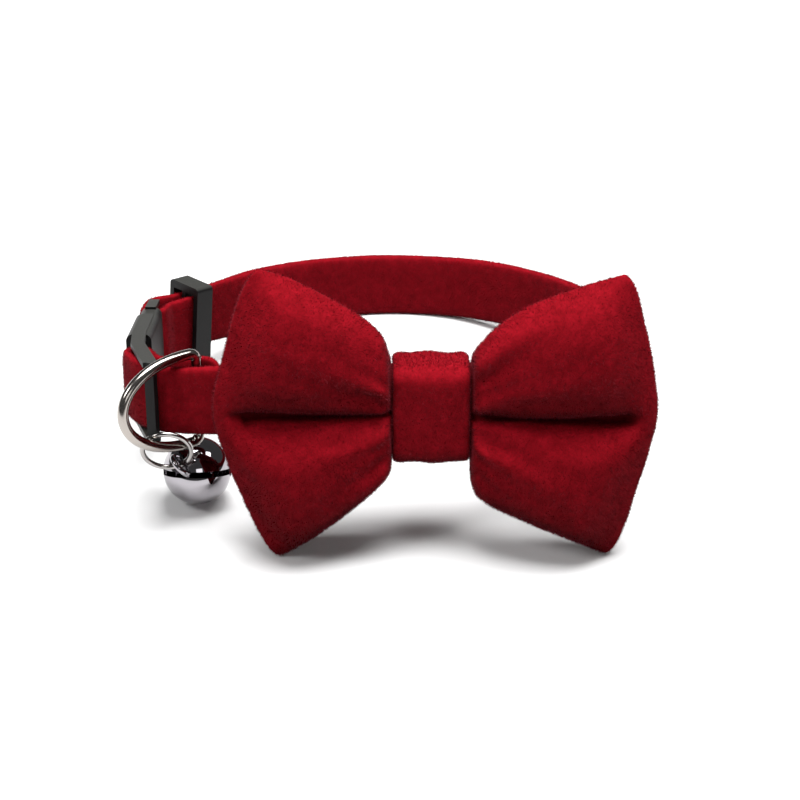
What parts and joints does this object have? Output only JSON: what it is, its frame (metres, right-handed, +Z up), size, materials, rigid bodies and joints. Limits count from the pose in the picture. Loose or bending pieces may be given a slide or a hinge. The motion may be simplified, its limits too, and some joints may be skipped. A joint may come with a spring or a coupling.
{
  "type": "pet bow tie collar",
  "caption": "Padded velvet pet collar with a creased bow tie and knot wrap, breakaway buckle, strap slider, D-ring, jump ring and jingle bell",
  "frame": {"origin": "middle of the footprint on the table the collar rests on", "axes": "+Z up, -Y the side of the bow, +X to the right as seen from the bow"},
  "size_m": [0.079, 0.076, 0.0427],
  "materials": {
    "velvet": "short-pile crimson velvet",
    "plastic": "matte moulded",
    "nickel": "polished nickel"
  },
  "bodies": {
    "collar": {"collar_strap": "velvet", "bow": "velvet", "bow_knot": "velvet", "buckle_socket": "plastic", "buckle_plug": "plastic", "strap_slider": "plastic"},
    "d_ring_set": {"d_ring": "nickel", "jump_ring": "nickel", "bell": "nickel"}
  },
  "joints": [
    {"name": "d_ring_swing", "type": "hinge", "parent": "collar", "child": "d_ring_set", "pos_m": [-0.02714, -0.021, 0.01882], "axis": [0, 0.2415, 0.9704], "range_deg": [0, 45]}
  ]
}
